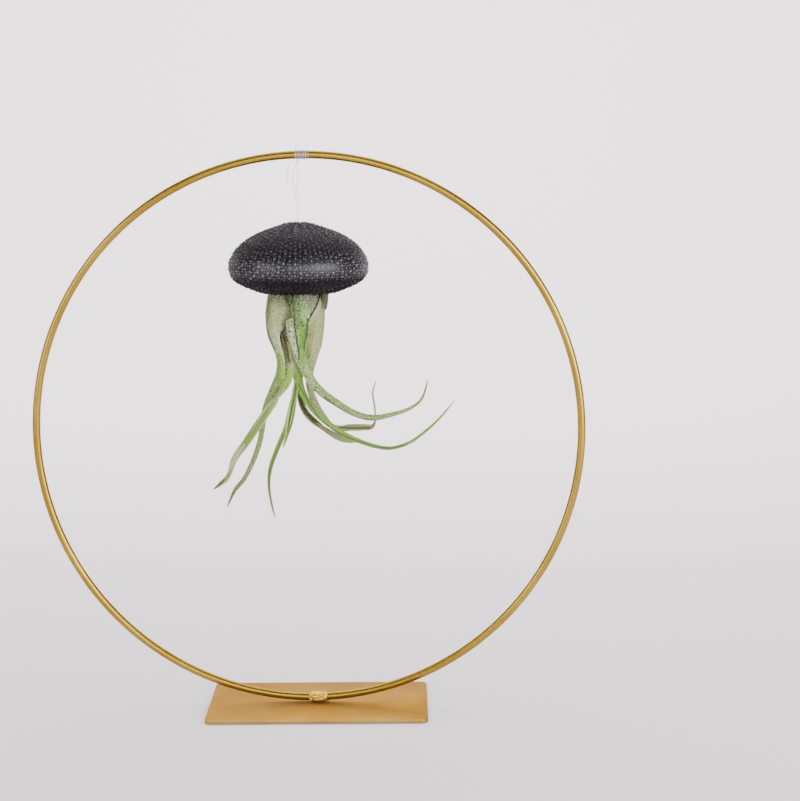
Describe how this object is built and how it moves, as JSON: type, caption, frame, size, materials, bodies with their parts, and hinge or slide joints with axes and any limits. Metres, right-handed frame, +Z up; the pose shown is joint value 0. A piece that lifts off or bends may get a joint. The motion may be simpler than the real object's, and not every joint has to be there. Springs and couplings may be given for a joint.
{
  "type": "medusa head air plant display",
  "caption": "Jellyfish air plant: a medusa head plant hangs head down from a black sea urchin shell, on a clear thread from a gold wire hoop that stands on a flat plate",
  "frame": {"origin": "under the middle of the base plate, on the surface it stands on", "axes": "+Z up, front towards -Y, +X to the right seen from the front"},
  "size_m": [0.2996, 0.0988, 0.3052],
  "materials": {
    "gold_paint": "satin metallic gold paint",
    "gold_weld": "glossy lumpy gold",
    "clear_thread": "clear glossy nylon",
    "urchin_shell": "satin black, beaded",
    "clear_glue": "glossy set glue",
    "stem": "dry fibrous",
    "leaf": "soft matte with silvery scales",
    "dry_scale": "dry matte"
  },
  "bodies": {
    "stand": {"base_plate": "gold_paint", "hoop": "gold_paint", "weld_bead": "gold_weld", "thread_winding": "clear_thread"},
    "knot": {"thread_knot": "clear_thread"},
    "thread": {"thread_line": "clear_thread"},
    "jellyfish": {"urchin_shell": "urchin_shell", "anchor_knot": "clear_thread", "glue_seat": "clear_glue", "plant_stem": "stem", "bract": "dry_scale", "leaf_left_long": "leaf", "leaf_right_upper": "leaf", "leaf_right_back": "leaf", "leaf_left_front": "leaf", "leaf_right_lower": "leaf", "leaf_centre_down": "leaf", "leaf_right_channel": "leaf", "leaf_centre_short": "leaf", "leaf_back_left": "leaf", "leaf_back_right": "leaf", "leaf_back_centre": "leaf"}
  },
  "joints": [
    {"name": "swing_front_back", "type": "hinge", "parent": "stand", "child": "knot", "pos_m": [-0.00813, 0.00018, 0.29625], "axis": [1, 0, 0], "range_deg": [-30, 30]},
    {"name": "swing_sideways", "type": "hinge", "parent": "knot", "child": "thread", "pos_m": [-0.00813, 0.00018, 0.29625], "axis": [0, 1, 0], "range_deg": [-20, 20]},
    {"name": "thread_twist", "type": "hinge", "parent": "thread", "child": "jellyfish", "pos_m": [-0.00813, 0.00018, 0.2615], "axis": [0, 0, 1], "continuous": true}
  ]
}
